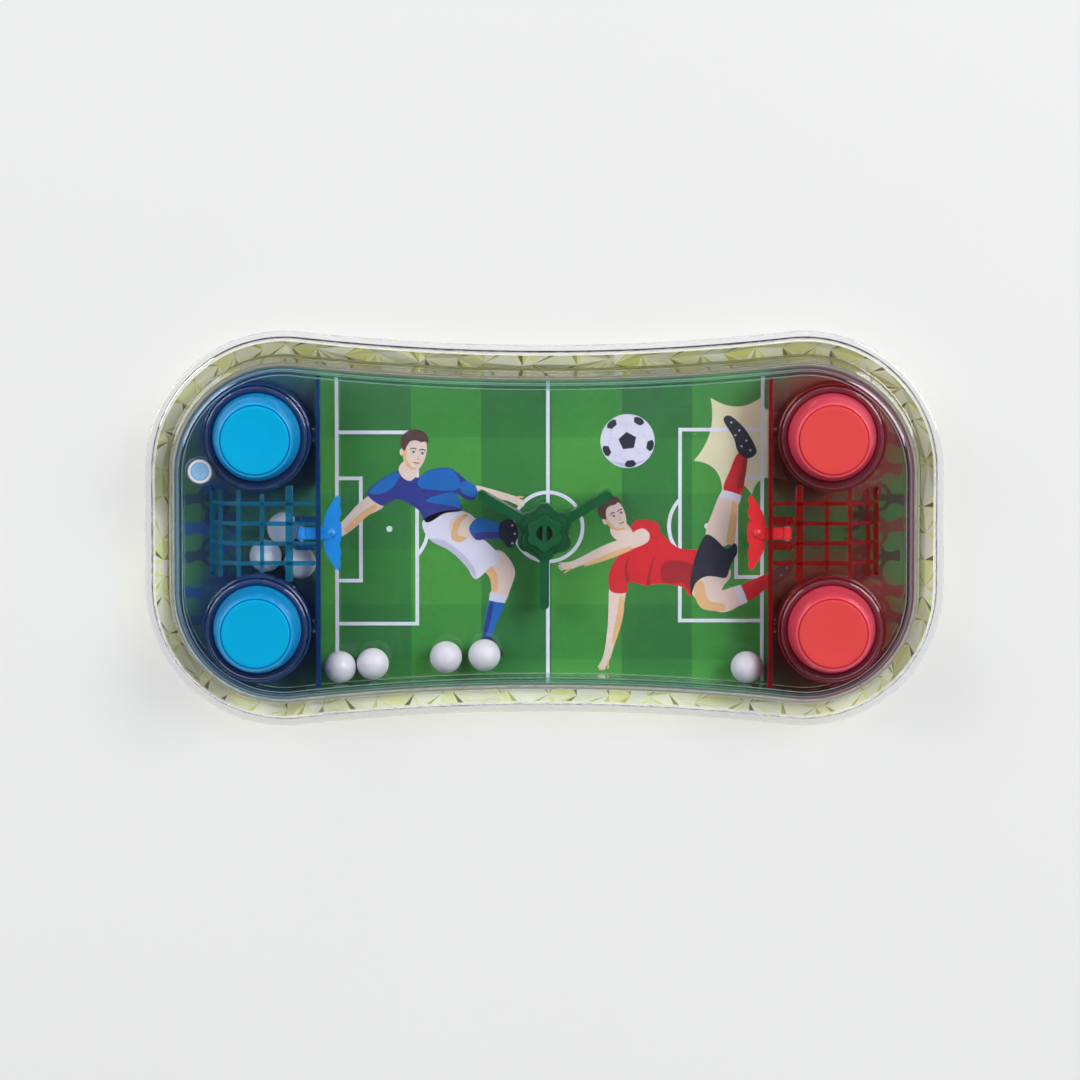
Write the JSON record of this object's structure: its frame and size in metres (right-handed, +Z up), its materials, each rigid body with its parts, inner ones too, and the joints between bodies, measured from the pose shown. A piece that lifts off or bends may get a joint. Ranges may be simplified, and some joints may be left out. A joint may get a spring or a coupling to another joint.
{
  "type": "handheld football water game",
  "caption": "Handheld two-player football water game: hourglass clear tank over a printed pitch, four push buttons, rocking goalkeepers, paddle spinner, nets and loose balls.",
  "frame": {"origin": "bottom centre of the case, on the surface it lies on", "axes": "+X along the case to the red end, +Y across it to the far long side, +Z up out of the face"},
  "size_m": [0.2, 0.0992, 0.0354],
  "materials": {
    "crystal_yellow": "clear yellow-green polystyrene, cut-crystal facets",
    "clear_plastic": "clear polished polystyrene",
    "printed_card": "gloss-printed card",
    "blue_tint": "transparent blue polystyrene",
    "red_tint": "transparent red polystyrene",
    "blue_cap": "moulded, glossy side and matt top",
    "red_cap": "moulded, glossy side and matt top",
    "blue_figure": "moulded, satin",
    "red_figure": "moulded, satin",
    "green_plastic": "moulded, satin",
    "dark_rubber": "soft matt",
    "pin_steel": "drawn wire",
    "plug": "soft translucent plastic",
    "ball_white": "satin"
  },
  "bodies": {
    "case": {"base_tray": "crystal_yellow", "clear_cover": "clear_plastic", "cover_face": "clear_plastic", "tank_tub": "clear_plastic", "pitch_card": "printed_card", "blue_partition": "blue_tint", "blue_goal_net": "blue_tint", "blue_keeper_pin": "pin_steel", "blue_pump_far": "blue_tint", "blue_seal_far": "dark_rubber", "blue_pump_near": "blue_tint", "blue_seal_near": "dark_rubber", "red_partition": "red_tint", "red_goal_net": "red_tint", "red_keeper_pin": "pin_steel", "red_pump_far": "red_tint", "red_seal_far": "dark_rubber", "red_pump_near": "red_tint", "red_seal_near": "dark_rubber"},
    "blue_button_far": {"blue_button_far": "blue_cap", "blue_bellows_far": "dark_rubber"},
    "blue_button_near": {"blue_button_near": "blue_cap", "blue_bellows_near": "dark_rubber"},
    "blue_keeper": {"blue_keeper": "blue_figure"},
    "red_button_far": {"red_button_far": "red_cap", "red_bellows_far": "dark_rubber"},
    "red_button_near": {"red_button_near": "red_cap", "red_bellows_near": "dark_rubber"},
    "red_keeper": {"red_keeper": "red_figure"},
    "spinner": {"spinner": "green_plastic"},
    "fill_plug": {"fill_plug": "plug"},
    "ball_1": {"ball_1": "ball_white"},
    "ball_2": {"ball_2": "ball_white"},
    "ball_3": {"ball_3": "ball_white"},
    "ball_4": {"ball_4": "ball_white"},
    "ball_5": {"ball_5": "ball_white"},
    "ball_6": {"ball_6": "ball_white"},
    "ball_7": {"ball_7": "ball_white"},
    "ball_8": {"ball_8": "ball_white"}
  },
  "joints": [
    {"name": "blue_button_far_push", "type": "slide", "parent": "case", "child": "blue_button_far", "axis": [0, 0, -1], "range_m": [0, 0.004], "stiffness_N_per_m": 400, "springref_m": -0.002, "deforming": ["blue_bellows_far"]},
    {"name": "blue_button_near_push", "type": "slide", "parent": "case", "child": "blue_button_near", "axis": [0, 0, -1], "range_m": [0, 0.004], "stiffness_N_per_m": 400, "springref_m": -0.002, "deforming": ["blue_bellows_near"]},
    {"name": "blue_keeper_rock", "type": "hinge", "parent": "case", "child": "blue_keeper", "pos_m": [-0.0604, 0, 0.0227], "axis": [0, -1, 0], "range_deg": [0, 8]},
    {"name": "red_button_far_push", "type": "slide", "parent": "case", "child": "red_button_far", "axis": [0, 0, -1], "range_m": [0, 0.004], "stiffness_N_per_m": 400, "springref_m": -0.002, "deforming": ["red_bellows_far"]},
    {"name": "red_button_near_push", "type": "slide", "parent": "case", "child": "red_button_near", "axis": [0, 0, -1], "range_m": [0, 0.004], "stiffness_N_per_m": 400, "springref_m": -0.002, "deforming": ["red_bellows_near"]},
    {"name": "red_keeper_rock", "type": "hinge", "parent": "case", "child": "red_keeper", "pos_m": [0.0604, 0, 0.0227], "axis": [0, 1, 0], "range_deg": [0, 8]},
    {"name": "spinner_turn", "type": "hinge", "parent": "case", "child": "spinner", "pos_m": [0, 0, 0.02], "axis": [0, 0, 1], "continuous": true},
    {"name": "fill_plug_pull", "type": "slide", "parent": "case", "child": "fill_plug", "axis": [0, 0, 1], "range_m": [0, 0.008]},
    {"name": "ball_1_roll", "type": "slide", "parent": "case", "child": "ball_1", "axis": [0, 1, 0], "range_m": [0, 0.015]},
    {"name": "ball_2_roll", "type": "slide", "parent": "case", "child": "ball_2", "axis": [0, 1, 0], "range_m": [0, 0.015]},
    {"name": "ball_3_roll", "type": "slide", "parent": "case", "child": "ball_3", "axis": [0, 1, 0], "range_m": [0, 0.015]},
    {"name": "ball_4_roll", "type": "slide", "parent": "case", "child": "ball_4", "axis": [0, 1, 0], "range_m": [0, 0.01]},
    {"name": "ball_5_roll", "type": "slide", "parent": "case", "child": "ball_5", "axis": [0, 1, 0], "range_m": [0, 0.015]},
    {"name": "ball_6_roll", "type": "slide", "parent": "case", "child": "ball_6", "axis": [-1, 0, 0], "range_m": [0, 0.005]},
    {"name": "ball_7_roll", "type": "slide", "parent": "case", "child": "ball_7", "axis": [0, 0, 1], "range_m": [0, 0.0022]},
    {"name": "ball_8_roll", "type": "slide", "parent": "case", "child": "ball_8", "axis": [0, 1, 0], "range_m": [0, 0.004]}
  ]
}
